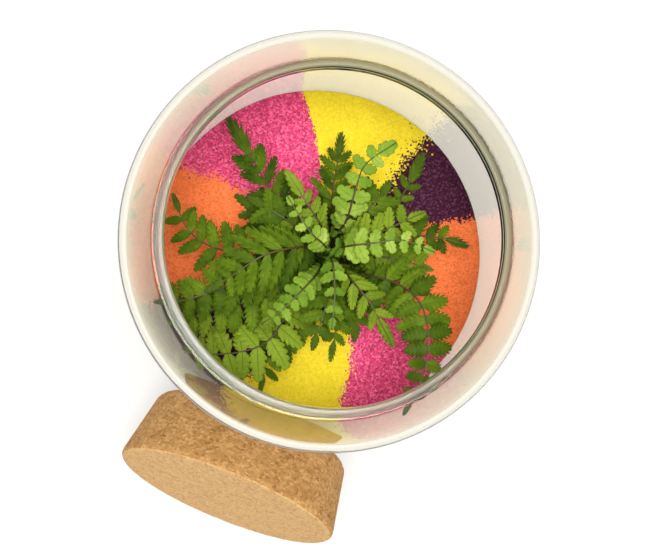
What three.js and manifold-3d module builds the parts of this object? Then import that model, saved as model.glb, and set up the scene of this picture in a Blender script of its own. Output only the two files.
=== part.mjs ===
// A fern growing in a glass jar over coloured sand, with its cork stopper leaning on the jar.
// Millimetres, +Z up. The origin is the centre of the jar's flat bottom, on the jar's axis.
// +X is the side where the broad right-hand frond grows, and the stopper leans on the -Y side.
import * as THREE from 'three';
import { mergeVertices } from 'three/addons/utils/BufferGeometryUtils.js';
import Module from 'manifold-3d';

const wasm = await Module();
wasm.setup();

// ---------------------------------------------------------------- driving dimensions

const CLEARANCE = 0.3; // between pieces that touch on the real thing
const ROUND_SEGMENTS = 40; // facets round the jar, the sand and the soil

const JAR = {
  height: 188.7,
  bodyRadius: 63.4,
  wall: 2.3,
  baseThickness: 4,
  heelRadius: 8,
  shoulderRadius: 12,
  lipRadius: 50.25, // from the axis to the middle of the lip's bead
  lipBead: 1.4, // radius of the bead's own round section
  lipEdge: 0.6, // rounding of the mouth's two inner edges
};

const SAND = {
  top: 116.9,
  topLayer: 18, // depth of the sand that covers the soil
  wallLayer: 14, // thickness of the sand between the soil and the glass
  rings: [0.8, 0.55], // shares of its radius where its surface has more points
  hollow: { at: [-42, 42], depth: 4.5, spread: 34 }, // where its surface sinks, on the pink side
  sideReach: 1.3 * JAR.bodyRadius, // how far out the line between two colours is drawn
  sideShares: [1, 0.75, 0.5, 0.2], // where that line has its points
};

const SOIL = {
  neckRadius: 16.5, // where the soil comes up to the surface round the fern
  crown: [3, -1], // centre of the fern's crown
  dome: 1.6, // rise of the soil above the sand
  flat: 0.8, // share of its neck that is level on top
  dip: 0.5, // how far its rim lies below the sand
  edge: 5, // how far its outer edges are cut back
};

const CORK = {
  smallRadius: 45.2,
  largeRadius: 49.0,
  thickness: 29.8,
  edge: 1.6, // rounding of its rims
  lean: 23.3, // degrees that its axis tilts up, as it leans on the jar
  azimuth: -113.9, // direction in which its large face looks
  sideways: 9.0, // how far its centre lies off the line from the jar's axis
  gap: 0.42, // added where its rim meets the jar
  segments: 40,
};

const STEM = {
  width: 1.5,
  thickness: 1.4,
  taper: 0.5, // how much narrower the rib is at its tip
  depth: 9, // how deep a stem stands in the soil
  rise: 5, // how far it goes straight up before it arches
  steps: 7, // facets along the bare stem
  holeRadius: 1.75,
};
const BLADE_THICKNESS = 0.7;

const LEAFLET = {
  gap: 1.2, // between a leaflet's middle and the glass
  rise: 0.7, // how much it turns up where it meets the glass
  facing: 0.45, // how far it follows its rib's slope: 0 lies level, 1 follows it all
  room: 0.47, // half width that it may take, as a share of the leaflets' spacing
  root: 0.45, // half width of its root, as a share of its own half width
  leastRoot: 0.35,
  leastTip: 0.8, // least half width of a frond's last leaflet
  tipLength: 1.05, // length of the last leaflet, as a share of what the rib leaves for it
  innerLength: 0.75, // length of the first pair, as a share of the longest
  fullness: 2.4, // how far out it stays wide
  narrowing: 0.8, // how fast it then narrows
  toothStep: 0.07, // how far past a tooth its edge steps back, as a share of its length
  sizes: [0.92, 1.08], // its natural spread of sizes
  droop: [6, 16], // degrees that it hangs
  pitch: [-8, 8], // degrees that it turns about its own length
};

// Where two colours of sand meet, in degrees round the jar, anticlockwise from +X.
// bend turns the line as it comes in towards the middle.
const SAND_WEDGES = [
  { name: 'sand_orange_a', colour: 0xf07840, from: -38, to: 9.7, bend: 4 },
  { name: 'sand_purple_a', colour: 0x41192f, from: 9.7, to: 49.4, bend: 11 },
  { name: 'sand_yellow_a', colour: 0xf3d832, from: 49.4, to: 100.6, bend: -8 },
  { name: 'sand_pink_a', colour: 0xcd3c6e, from: 100.6, to: 155.9, bend: -21 },
  { name: 'sand_orange_b', colour: 0xf07840, from: 155.9, to: 194, bend: -30 },
  { name: 'sand_purple_b', colour: 0x41192f, from: 194, to: 222, bend: 6 },
  { name: 'sand_yellow_b', colour: 0xf3d832, from: 222, to: 264.2, bend: 48 },
  { name: 'sand_pink_b', colour: 0xcd3c6e, from: 264.2, to: 322, bend: 45 },
];

// ---------------------------------------------------------------- materials

const material = (colour, roughness, extra = {}) =>
  new THREE.MeshStandardMaterial({ color: colour, roughness, metalness: 0, ...extra });

const GLASS = material(0xdfe6da, 0.05, { transparent: true, opacity: 0.3 });
const SOIL_BROWN = material(0x3a2619, 0.95);
const CORK_TAN = material(0xc69a66, 0.85);
const MATURE_GREEN = material(0x4f7d2b, 0.55);
const YOUNG_GREEN = material(0xa0c64c, 0.5);

// ---------------------------------------------------------------- helpers

const radians = THREE.MathUtils.degToRad;

// Points of an arc in the profile plane, from one angle to another, both ends included.
function arc(centreX, centreY, radius, fromDegrees, toDegrees, steps) {
  const points = [];
  for (let i = 0; i <= steps; i += 1) {
    const angle = radians(THREE.MathUtils.lerp(fromDegrees, toDegrees, i / steps));
    const x = centreX + radius * Math.cos(angle);
    const y = centreY + radius * Math.sin(angle);
    points.push(new THREE.Vector2(x, y));
  }
  return points;
}

const point2 = (x, y) => new THREE.Vector2(x, y);

// A closed geometry with only positions, its shared vertices merged.
function weld(geometry) {
  const bare = geometry.clone();
  bare.deleteAttribute('normal');
  bare.deleteAttribute('uv');
  return mergeVertices(bare, 1e-5);
}

function toSolid(geometry) {
  const welded = weld(geometry);
  const vertProperties = new Float32Array(welded.attributes.position.array);
  const triVerts = new Uint32Array(welded.index.array);
  return new wasm.Manifold(new wasm.Mesh({ numProp: 3, vertProperties, triVerts }));
}

function toGeometry(solid) {
  const mesh = solid.getMesh();
  const geometry = new THREE.BufferGeometry();
  const position = new THREE.BufferAttribute(new Float32Array(mesh.vertProperties), 3);
  geometry.setAttribute('position', position);
  geometry.setIndex(new THREE.BufferAttribute(new Uint32Array(mesh.triVerts), 1));
  return geometry;
}

// A solid turned round the jar's axis from a profile of (radius, height) points.
function turned(profile, segments = ROUND_SEGMENTS) {
  const geometry = new THREE.LatheGeometry(profile, segments);
  geometry.rotateX(Math.PI / 2);
  return geometry;
}

// The same numbers each time, for small natural differences.
function randomFrom(seed) {
  let state = seed;
  return () => {
    state = (state * 1664525 + 1013904223) % 4294967296;
    return state / 4294967296;
  };
}

const group = new THREE.Group();

function addPiece(name, geometry, pieceMaterial) {
  const mesh = new THREE.Mesh(geometry, pieceMaterial);
  mesh.name = name;
  group.add(mesh);
  return mesh;
}

// ---------------------------------------------------------------- glass jar

const innerRadius = JAR.bodyRadius - JAR.wall;
const lipHeight = JAR.height - JAR.lipBead;
const shoulderAxis = JAR.bodyRadius - JAR.shoulderRadius;
const shoulderTop = lipHeight - 0.8 * JAR.lipBead;
const shoulderCentre = shoulderTop - JAR.shoulderRadius;
const innerHeel = JAR.heelRadius - JAR.wall;

function jarProfile() {
  const { height, bodyRadius, heelRadius, shoulderRadius, wall, baseThickness } = JAR;
  const { lipRadius, lipBead, lipEdge } = JAR;
  const innerShoulder = shoulderRadius - wall;
  const innerHeelCentre = baseThickness + innerHeel;
  const lipAxis = lipRadius - lipBead + lipEdge;
  return [
    point2(0, 0),
    ...arc(bodyRadius - heelRadius, heelRadius, heelRadius, -90, 0, 3),
    ...arc(shoulderAxis, shoulderCentre, shoulderRadius, 0, 88, 5),
    ...arc(lipRadius, lipHeight, lipBead, -35, 90, 4),
    ...arc(lipAxis, height - lipEdge, lipEdge, 90, 180, 1),
    ...arc(lipAxis, shoulderCentre + innerShoulder + lipEdge, lipEdge, 180, 270, 1),
    ...arc(shoulderAxis, shoulderCentre, innerShoulder, 86, 0, 4),
    ...arc(innerRadius - innerHeel, innerHeelCentre, innerHeel, 0, -90, 2),
    point2(0, baseThickness),
  ];
}

addPiece('jar', turned(jarProfile()), GLASS);

// ---------------------------------------------------------------- sand and soil

// How far the sand's surface lies below its level top.
function sandSink(x, y) {
  const { at, depth, spread } = SAND.hollow;
  const away = point2(x - at[0], y - at[1]).length();
  return depth * Math.exp(-((away / spread) ** 2));
}

const sandRadius = innerRadius - CLEARANCE;
const sandBottom = JAR.baseThickness + CLEARANCE;
const soilTop = SAND.top + SOIL.dome;
const soilShoulder = SAND.top - SAND.topLayer;
const soilRadius = sandRadius - SAND.wallLayer;

function sandProfile() {
  const neck = SOIL.neckRadius + CLEARANCE;
  const hollow = soilRadius + CLEARANCE;
  const heelAxis = sandRadius - innerHeel;
  const profile = [
    point2(hollow, sandBottom),
    ...arc(heelAxis, sandBottom + innerHeel, innerHeel, -90, 0, 2),
    point2(sandRadius, SAND.top),
    ...SAND.rings.map((share) => point2(share * sandRadius, SAND.top)),
    point2(neck, SAND.top),
    point2(neck, soilShoulder + CLEARANCE),
    point2(hollow, soilShoulder + CLEARANCE),
  ];
  return [...profile, profile[0].clone()];
}

// The whole ring of sand, before it is parted into its colours.
function sandRing() {
  const geometry = weld(turned(sandProfile()));
  const position = geometry.attributes.position;
  for (let i = 0; i < position.count; i += 1) {
    if (Math.abs(position.getZ(i) - SAND.top) < 0.01) {
      position.setZ(i, SAND.top - sandSink(position.getX(i), position.getY(i)));
    }
  }
  return toSolid(geometry);
}

// A tall prism over one colour's share of the plan, its two sides half a clearance back.
function wedgePrism(wedge, nextWedge) {
  const reach = SAND.sideReach;
  const sideLine = (angle, bend, inset) => {
    const side = [];
    for (const share of SAND.sideShares) {
      const turn = radians(angle + bend * (1 - share));
      const along = point2(Math.cos(turn), Math.sin(turn)).multiplyScalar(reach * share);
      side.push(along.add(point2(-Math.sin(turn), Math.cos(turn)).multiplyScalar(inset)));
    }
    return side;
  };
  const firstSide = sideLine(wedge.from, wedge.bend, CLEARANCE / 2).reverse();
  const lastSide = sideLine(wedge.to, nextWedge.bend, -CLEARANCE / 2);
  const middle = radians((wedge.from + wedge.to) / 2);
  const rim = point2(Math.cos(middle), Math.sin(middle)).multiplyScalar(1.2 * reach);
  const shape = new THREE.Shape([...firstSide, rim, ...lastSide]);
  return new THREE.ExtrudeGeometry(shape, { depth: JAR.height, bevelEnabled: false });
}

const ring = sandRing();
SAND_WEDGES.forEach((wedge, i) => {
  const nextWedge = SAND_WEDGES[(i + 1) % SAND_WEDGES.length];
  const solid = ring.intersect(toSolid(wedgePrism(wedge, nextWedge)));
  addPiece(wedge.name, toGeometry(solid), material(wedge.colour, 0.9));
});

// ---------------------------------------------------------------- fern

// Each frond rises from its place in the crown and arches out along its route.
// ring and place say where its stem stands: the ring's radius, and the angle round it.
// route is where its rib then runs, bare the share of the rib that is stem without leaflets,
// tip the share of the blade that its last leaflet takes, width the longest leaflet's length, and
// forward the angle between a leaflet and the rib.
// A leaf's peaks are its teeth, as shares of its length. notch is what is left of its width
// between two teeth, slim and tipSlim its half width as a share of its length, at the sides and at
// the tip, and taper how fast the leaflets grow shorter towards the frond's tip.
const LONG = { peaks: [0.35, 0.7], notch: 0.72, slim: 0.2, tipSlim: 0.16, taper: 0.4 };
const LOBED = { peaks: [0.33, 0.68], notch: 0.62, slim: 0.3, tipSlim: 0.24, taper: 0.35 };
const CUT = { peaks: [0.3, 0.66], notch: 0.5, slim: 0.3, tipSlim: 0.18, taper: 0.6 };
const BROAD = { peaks: [0.26, 0.54, 0.8], notch: 0.55, slim: 0.3, tipSlim: 0.22, taper: 0.3 };
const TAPERED = { ...BROAD, taper: 0.65 };
const ROUND = { peaks: [0.25, 0.62], notch: 0.5, slim: 0.38, tipSlim: 0.32, taper: 0.4 };

const FRONDS = [
  // low fronds, from the crown's outer ring
  { name: 'frond_right_low', ring: 11.5, place: 24, leaf: CUT, forward: 52, pairs: 4, width: 10,
    bare: 0.55, tip: 0.36, route: [[19, 3, 139], [27, 4, 144], [38, 4, 143], [52, 1.5, 137]] },
  { name: 'frond_upper_right', ring: 11.5, place: 52, leaf: LONG, forward: 40, pairs: 3, width: 7,
    bare: 0.55, tip: 0.46, route: [[16, 9, 138], [22, 11, 142], [29, 21, 139], [37, 35, 132]] },
  { name: 'frond_top', ring: 11.5, place: 98, leaf: CUT, forward: 46, pairs: 5, width: 12,
    bare: 0.42, tip: 0.3, route: [[3, 12, 139], [3, 19.5, 144], [5, 29.5, 141], [7.5, 41.5, 135]] },
  { name: 'frond_upper_left_low', ring: 11.5, place: 150, leaf: LOBED, forward: 52, pairs: 5,
    width: 14, bare: 0.38, tip: 0.25, route: [[-10.5, 6, 138], [-20.5, 12, 142], [-29.5, 18, 140]] },
  { name: 'frond_left', ring: 11.5, place: 182, leaf: LONG, forward: 60, pairs: 5, width: 13,
    bare: 0.5, tip: 0.18,
    route: [[-15, -1, 139], [-25, -1, 146], [-36.5, 0, 143], [-45.5, 6.5, 139], [-51, 19.5, 134]] },
  { name: 'frond_lower_left_low', ring: 11.5, place: 232, leaf: LOBED, forward: 84, pairs: 6,
    width: 14, bare: 0.42, tip: 0.1,
    route: [[-9, -16, 136], [-18.5, -31, 140], [-27, -34.5, 141], [-38.5, -35.5, 137], [-49, -34.5, 133]] },
  { name: 'frond_bottom_low', ring: 11.5, place: 262, leaf: LONG, forward: 66, pairs: 5, width: 10,
    bare: 0.5, tip: 0.22,
    route: [[-1, -20, 131], [-11, -29, 134], [-17.5, -35.5, 133.5], [-20, -43, 131], [-20.5, -50, 129]] },
  { name: 'frond_bottom_right_low', ring: 11.5, place: 292, leaf: LOBED, forward: 55, pairs: 4,
    width: 11, bare: 0.4, tip: 0.25, route: [[8, -16, 138], [11, -22, 141], [11, -32, 137]] },
  { name: 'frond_right_lower', ring: 11.5, place: 342, leaf: LOBED, forward: 56, pairs: 4,
    width: 8.5, bare: 0.42, tip: 0.2, route: [[18, -6, 138], [27, -10.5, 141], [38, -16, 138]] },
  // middle fronds
  { name: 'frond_top_right', ring: 7.5, place: 50, leaf: LOBED, forward: 55, pairs: 4, width: 13,
    bare: 0.52, tip: 0.25, route: [[9.5, 8, 147], [15.5, 13.5, 151], [22.5, 22.5, 148]] },
  { name: 'frond_top_left', ring: 7.5, place: 128, leaf: CUT, forward: 44, pairs: 6, width: 14,
    bare: 0.42, tip: 0.34, route: [[-7, 7.5, 145], [-14, 13, 151], [-21.5, 24.5, 150], [-31.5, 44.5, 141]] },
  { name: 'frond_lower_left', ring: 7.5, place: 208, leaf: BROAD, forward: 62, pairs: 6,
    width: 13.5, bare: 0.4, tip: 0.1,
    route: [[-9.5, -5, 145], [-21, -8.5, 149.5], [-33.5, -13.5, 151], [-46, -17.5, 151],
      [-56.5, -18.5, 150]] },
  { name: 'frond_lower_left_mid', ring: 7.5, place: 236, leaf: BROAD, forward: 72, pairs: 6,
    width: 13, bare: 0.4, tip: 0.14,
    route: [[-9, -12.5, 141], [-21, -17, 144.5], [-34.5, -20, 143.5], [-53, -25.5, 140]] },
  { name: 'frond_bottom_right', ring: 7.5, place: 322, leaf: TAPERED, forward: 86, pairs: 8,
    width: 13, bare: 0.46, tip: 0.1,
    route: [[15, -9.5, 150], [24, -13, 156], [29.5, -19, 160], [31.5, -28, 162], [30.5, -38, 163.5],
      [23, -54, 165]] },
  { name: 'frond_bottom', ring: 7.5, place: 278, leaf: CUT, forward: 52, pairs: 5, width: 12,
    bare: 0.4, tip: 0.2, route: [[3, -13, 148], [4, -21.5, 151], [3, -30, 149], [2, -37.5, 144]] },
  { name: 'frond_top_round', ring: 7.5, place: 90, leaf: ROUND, forward: 66, pairs: 5, width: 8.5,
    bare: 0.5, tip: 0.2, route: [[6.5, 8, 152], [9, 17.5, 158], [12, 25.5, 157], [23.5, 34.5, 152]] },
  { name: 'frond_right_mid', ring: 7.5, place: 2, leaf: LOBED, forward: 58, pairs: 4, width: 11,
    bare: 0.56, tip: 0.18, route: [[14, -2.3, 147], [24.5, -4.5, 151], [37, -7.5, 147]] },
  // high fronds
  { name: 'frond_bottom_mid', ring: 4, place: 282, leaf: LOBED, forward: 55, pairs: 4, width: 10,
    bare: 0.57, tip: 0.2, route: [[1, -14.5, 155], [-2, -24, 158], [-5, -34, 154]] },
  { name: 'frond_left_high', ring: 4, place: 182, leaf: CUT, forward: 56, pairs: 6, width: 16,
    bare: 0.54, tip: 0.2, route: [[-9, -1, 161], [-20.5, -4, 166], [-30, -10, 164], [-39, -15, 158]] },
  { name: 'frond_upper_left', ring: 4, place: 146, leaf: LOBED, forward: 54, pairs: 5, width: 12,
    bare: 0.5, tip: 0.2, route: [[-8.5, 5, 154.5], [-15, 9, 159], [-25.5, 16, 155]] },
  { name: 'frond_right_small', ring: 4, place: 318, leaf: LONG, forward: 50, pairs: 4, width: 9,
    bare: 0.55, tip: 0.34, route: [[8, -12, 159], [13, -18.5, 161], [16, -23.5, 159], [21.5, -33, 153.5]] },
  { name: 'frond_top_small', ring: 4, place: 104, leaf: LOBED, forward: 50, pairs: 4, width: 7,
    bare: 0.58, tip: 0.3, route: [[-3, 7, 161], [-8.5, 14.5, 165], [-12, 22.5, 162]] },
  { name: 'frond_right_upper', ring: 4, place: 18, leaf: LOBED, forward: 56, pairs: 4, width: 10,
    bare: 0.52, tip: 0.2, route: [[9, 1, 157], [18, 4.5, 161], [32, 11, 157]] },
  { name: 'frond_lower_left_high', ring: 4, place: 236, leaf: ROUND, forward: 64, pairs: 6, width: 7,
    bare: 0.6, tip: 0.12,
    route: [[-5, -11, 161], [-10.5, -16.5, 167], [-15.5, -21.5, 166], [-21, -25, 161]] },
  // young bright fronds in the middle
  { name: 'frond_young_top', ring: 1.6, place: 120, leaf: ROUND, forward: 64, pairs: 5, width: 6,
    bare: 0.62, tip: 0.12, route: [[-2, 0, 163], [-6, 2.5, 169.5], [-10, 8, 171.5], [-13.5, 14, 170]] },
  { name: 'frond_young_right', ring: 1.6, place: 0, leaf: ROUND, forward: 66, pairs: 7, width: 8,
    bare: 0.5, tip: 0.1, route: [[6, -1, 166], [12.5, -0.5, 170], [22, 0.5, 170], [33, -3, 166]] },
  { name: 'frond_young_bottom', ring: 1.6, place: 240, leaf: ROUND, forward: 62, pairs: 4, width: 6,
    bare: 0.66, tip: 0.14, route: [[1, -7, 165], [1, -16, 170.5], [0, -27, 170]] },
];

const BRIGHT_FRONDS = ['frond_young_top', 'frond_young_right', 'frond_young_bottom',
  'frond_lower_left_high', 'frond_top_round'];

// Where a frond's stem stands in the soil.
function stemPlace(frond) {
  const angle = radians(frond.place);
  const x = SOIL.crown[0] + frond.ring * Math.cos(angle);
  const y = SOIL.crown[1] + frond.ring * Math.sin(angle);
  return point2(x, y);
}

function frondCurve(frond) {
  const place = stemPlace(frond);
  const upright = [-STEM.depth, -STEM.depth / 2, 0, STEM.rise].map(
    (height) => new THREE.Vector3(place.x, place.y, soilTop + height),
  );
  const arching = frond.route.map(([x, y, z]) => new THREE.Vector3(x, y, z));
  return new THREE.CatmullRomCurve3([...upright, ...arching], false, 'centripetal');
}

// The rib's point and its along, left and up directions at a share of its length.
function ribFrame(curve, share) {
  const origin = curve.getPointAt(share);
  const along = curve.getTangentAt(share);
  const end = curve.getPointAt(1);
  const outward = end.sub(curve.getPointAt(0)).setZ(0).normalize();
  const level = along.clone().setZ(0);
  const heading = outward.lerp(level.clone().normalize(), Math.min(1, level.length() ** 2));
  heading.normalize();
  const left = new THREE.Vector3(-heading.y, heading.x, 0);
  const up = along.clone().cross(left).normalize();
  return { origin, along, left, up };
}

// Half outline of one leaflet: points of (distance along it, half width), root and tip left out.
// After each tooth the edge steps back in.
function leafletEdge(leaf, length, halfWidth) {
  const edge = [];
  leaf.peaks.forEach((peak, i) => {
    const wide = halfWidth * (1 - peak ** LEAFLET.fullness) ** LEAFLET.narrowing;
    edge.push([peak * length, wide]);
    if (i + 1 < leaf.peaks.length) {
      edge.push([(peak + LEAFLET.toothStep) * length, leaf.notch * wide]);
    }
  });
  return edge;
}

// How long the leaflets are along the blade, as a share of the frond's width.
function leafletShare(share, taper) {
  return Math.min(1, LEAFLET.innerLength + share) * (1 - share) ** taper;
}

// A point that would be past the glass comes back to it, and up along it.
function heldIn(point) {
  const reach = Math.hypot(point.x, point.y);
  const past = Math.max(0, reach - (innerRadius - LEAFLET.gap));
  const share = 1 - past / reach;
  return new THREE.Vector3(point.x * share, point.y * share, point.z + LEAFLET.rise * past);
}

// A value drawn from a range.
const within = ([low, high], random) => low + (high - low) * random();

class FrondMesh {
  constructor() {
    this.top = [];
    this.bottom = [];
    this.faces = [];
    this.walls = [];
  }

  // Adds a point of the blade with its thickness, and gives its number.
  add(point, up, thickness) {
    this.top.push(point.clone().addScaledVector(up, thickness / 2));
    this.bottom.push(point.clone().addScaledVector(up, -thickness / 2));
    return this.top.length - 1;
  }

  // One flat patch of the blade: numbers of its corners, anticlockwise seen from above.
  patch(corners, flat) {
    for (const [a, b, c] of THREE.ShapeUtils.triangulateShape(flat, [])) {
      this.faces.push([corners[a], corners[b], corners[c]]);
    }
  }

  wall(from, to) {
    this.walls.push([from, to]);
  }

  geometry() {
    const count = this.top.length;
    const position = [];
    for (const point of [...this.top, ...this.bottom]) {
      position.push(point.x, point.y, point.z);
    }
    const index = [];
    for (const [a, b, c] of this.faces) {
      index.push(a, b, c, a + count, c + count, b + count);
    }
    for (const [from, to] of this.walls) {
      index.push(from, from + count, to + count, from, to + count, to);
    }
    const geometry = new THREE.BufferGeometry();
    geometry.setAttribute('position', new THREE.Float32BufferAttribute(position, 3));
    geometry.setIndex(index);
    return geometry;
  }
}

// Adds one leaflet between two numbered points of the rib's edge. Its axis points to its tip
// and its front to the side of its second root point.
function addLeaflet(blade, leaf, ends, place, length, halfWidth) {
  const { axis, front, up, mirrored } = place;
  const middles = ends.map((i) => blade.top[i].clone().lerp(blade.bottom[i], 0.5));
  const root = middles[0].lerp(middles[1], 0.5);
  const corners = [ends[0]];
  const flat = [point2(0, -0.1)];
  const add = (p, q) => {
    const at = root.clone().addScaledVector(axis, p).addScaledVector(front, q);
    corners.push(blade.add(heldIn(at), up, BLADE_THICKNESS));
    flat.push(point2(p, q));
  };
  const edge = leafletEdge(leaf, length, halfWidth);
  edge.forEach(([p, q]) => add(p, -q));
  add(length, 0);
  [...edge].reverse().forEach(([p, q]) => add(p, q));
  corners.push(ends[1]);
  flat.push(point2(0, 0.1));
  if (mirrored) {
    corners.reverse();
    flat.reverse().forEach((point) => point.setY(-point.y));
  }
  blade.patch(corners, flat);
  for (let i = 0; i + 1 < corners.length; i += 1) {
    blade.wall(corners[i], corners[i + 1]);
  }
}

// How a side leaflet lies: side is +1 on the left of the rib and -1 on the right.
function sidePlace(frame, forward, side, droop, pitch) {
  const heading = new THREE.Vector3(frame.left.y, -frame.left.x, 0);
  const along = heading.lerp(frame.along, LEAFLET.facing).normalize();
  const slope = along.clone().cross(frame.left);
  const across = frame.left.clone().multiplyScalar(side * Math.cos(droop));
  across.addScaledVector(slope, -Math.sin(droop)).multiplyScalar(Math.sin(forward));
  const axis = along.clone().multiplyScalar(Math.cos(forward)).add(across).normalize();
  const front = along.clone().addScaledVector(axis, -along.dot(axis)).normalize();
  front.applyAxisAngle(axis, side * pitch);
  const up = axis.clone().cross(front).multiplyScalar(-side);
  return { axis, front, up, mirrored: side > 0 };
}

// The stations along the rib: the bare stem's, then two for each pair of leaflets.
function ribStations(frond, bladeLength, random) {
  const stations = [];
  for (let i = 0; i < STEM.steps; i += 1) {
    stations.push({ share: (frond.bare * i) / STEM.steps });
  }
  const spacing = (1 - frond.tip) / (frond.pairs + 0.1);
  const room = LEAFLET.room * spacing * bladeLength * Math.sin(radians(frond.forward));
  for (let i = 0; i < frond.pairs; i += 1) {
    const at = (i + 0.5) * spacing;
    const natural = within(LEAFLET.sizes, random);
    const size = leafletShare(at, frond.leaf.taper) * frond.width * natural;
    const halfWidth = Math.min(room, frond.leaf.slim * size);
    const halfRoot = Math.max(LEAFLET.leastRoot, LEAFLET.root * halfWidth) / bladeLength;
    const share = (offset) => frond.bare + (1 - frond.bare) * (at + offset);
    stations.push({ share: share(-halfRoot), leaflets: { size, halfWidth } });
    stations.push({ share: share(halfRoot) });
  }
  stations.push({ share: 1 - frond.tip * (1 - frond.bare) });
  return stations;
}

// One frond: its stem and rib as a ladder of flat steps, with a leaflet on each side of a step
// at every pair, and one more leaflet at the tip.
function frondGeometry(frond, seed) {
  const random = randomFrom(seed);
  const curve = frondCurve(frond);
  const bladeLength = (1 - frond.bare) * curve.getLength();
  const stations = ribStations(frond, bladeLength, random);
  const blade = new FrondMesh();
  const rows = stations.map(({ share }) => {
    const frame = ribFrame(curve, share);
    const out = Math.max(0, (share - frond.bare) / (1 - frond.bare));
    const half = (STEM.width / 2) * (1 - STEM.taper * out);
    const thinning = Math.min(1, share / frond.bare);
    const stout = THREE.MathUtils.lerp(STEM.thickness, BLADE_THICKNESS, thinning);
    const [left, right] = [half, -half].map((offset) =>
      blade.add(frame.origin.clone().addScaledVector(frame.left, offset), frame.up, stout),
    );
    return { frame, left, right };
  });
  blade.wall(rows[0].left, rows[0].right);
  for (let i = 0; i + 1 < rows.length; i += 1) {
    const [near, far] = [rows[i], rows[i + 1]];
    blade.faces.push([near.left, near.right, far.right], [near.left, far.right, far.left]);
    const { leaflets } = stations[i];
    if (!leaflets) {
      blade.wall(far.left, near.left);
      blade.wall(near.right, far.right);
      continue;
    }
    for (const side of [1, -1]) {
      const ends = side > 0 ? [near.left, far.left] : [near.right, far.right];
      const droop = radians(within(LEAFLET.droop, random));
      const pitch = radians(within(LEAFLET.pitch, random));
      const place = sidePlace(near.frame, radians(frond.forward), side, droop, pitch);
      addLeaflet(blade, frond.leaf, ends, place, leaflets.size, leaflets.halfWidth);
    }
  }
  const last = rows[rows.length - 1];
  const { along, left, up } = last.frame;
  const tipPlace = { axis: along, front: left, up, mirrored: false };
  const tipLength = LEAFLET.tipLength * frond.tip * bladeLength;
  const tipHalf = Math.max(LEAFLET.leastTip, frond.leaf.tipSlim * tipLength);
  addLeaflet(blade, frond.leaf, [last.right, last.left], tipPlace, tipLength, tipHalf);
  return blade.geometry();
}

FRONDS.forEach((frond, i) => {
  const green = BRIGHT_FRONDS.includes(frond.name) ? YOUNG_GREEN : MATURE_GREEN;
  addPiece(frond.name, frondGeometry(frond, 11 + i), green);
});

// ---------------------------------------------------------------- soil core with its stem holes

function soilCore() {
  const foot = sandBottom;
  const profile = [
    point2(0, foot),
    point2(soilRadius - SOIL.edge, foot),
    point2(soilRadius, foot + SOIL.edge),
    point2(soilRadius, soilShoulder - SOIL.edge),
    point2(soilRadius - SOIL.edge, soilShoulder),
    point2(SOIL.neckRadius, soilShoulder),
    point2(SOIL.neckRadius, SAND.top - SOIL.dip),
    point2(SOIL.flat * SOIL.neckRadius, soilTop),
    point2(0, soilTop),
  ];
  let core = toSolid(turned(profile, ROUND_SEGMENTS / 2));
  for (const frond of FRONDS) {
    const place = stemPlace(frond);
    const depth = STEM.depth + CLEARANCE;
    const hole = new THREE.CylinderGeometry(STEM.holeRadius, STEM.holeRadius, 2 * depth, 6);
    hole.rotateX(Math.PI / 2);
    hole.translate(place.x, place.y, soilTop);
    core = core.subtract(toSolid(hole));
  }
  return toGeometry(core);
}

addPiece('soil_core', soilCore(), SOIL_BROWN);

// ---------------------------------------------------------------- cork stopper

function corkProfile() {
  const { smallRadius, largeRadius, thickness, edge } = CORK;
  return [
    point2(0, 0),
    ...arc(smallRadius - edge, edge, edge, -90, 0, 2),
    ...arc(largeRadius - edge, thickness - edge, edge, 0, 90, 2),
    point2(0, thickness),
  ];
}

// The stopper lies on its small rim and leans back until that rim's top meets the jar.
function leaningCork() {
  const geometry = turned(corkProfile(), CORK.segments);
  geometry.rotateY(radians(90 - CORK.lean));
  geometry.rotateZ(radians(CORK.azimuth));
  geometry.computeBoundingBox();
  geometry.translate(0, 0, -geometry.boundingBox.min.z);
  const azimuth = radians(CORK.azimuth);
  const outward = point2(Math.cos(azimuth), Math.sin(azimuth));
  const sideways = point2(-outward.y, outward.x).multiplyScalar(CORK.sideways);
  const lean = radians(CORK.lean);
  const rimReach = (CORK.smallRadius - CORK.edge) * Math.sin(lean) + CORK.edge * (1 - Math.cos(lean));
  const wall = Math.sqrt(JAR.bodyRadius ** 2 - CORK.sideways ** 2);
  const distance = wall + CORK.gap + rimReach;
  geometry.translate(outward.x * distance + sideways.x, outward.y * distance + sideways.y, 0);
  return geometry;
}

addPiece('cork_stopper', leaningCork(), CORK_TAN);

export default group;
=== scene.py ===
import math
from collections import namedtuple

import bpy
import numpy as np
from mathutils import Matrix, Vector, noise


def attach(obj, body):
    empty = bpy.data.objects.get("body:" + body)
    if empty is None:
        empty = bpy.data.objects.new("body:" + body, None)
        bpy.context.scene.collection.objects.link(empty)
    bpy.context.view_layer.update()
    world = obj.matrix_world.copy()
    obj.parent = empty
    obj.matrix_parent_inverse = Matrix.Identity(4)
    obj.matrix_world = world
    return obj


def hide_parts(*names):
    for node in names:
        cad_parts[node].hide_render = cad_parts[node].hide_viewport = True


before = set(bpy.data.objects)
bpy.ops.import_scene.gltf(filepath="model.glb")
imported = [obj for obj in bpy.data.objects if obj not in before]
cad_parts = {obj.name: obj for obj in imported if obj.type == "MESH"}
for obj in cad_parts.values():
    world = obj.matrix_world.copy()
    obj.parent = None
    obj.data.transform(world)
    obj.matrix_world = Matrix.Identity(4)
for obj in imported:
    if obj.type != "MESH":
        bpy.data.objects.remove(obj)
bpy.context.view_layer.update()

MM = 0.001

# ---- driving dimensions

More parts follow.
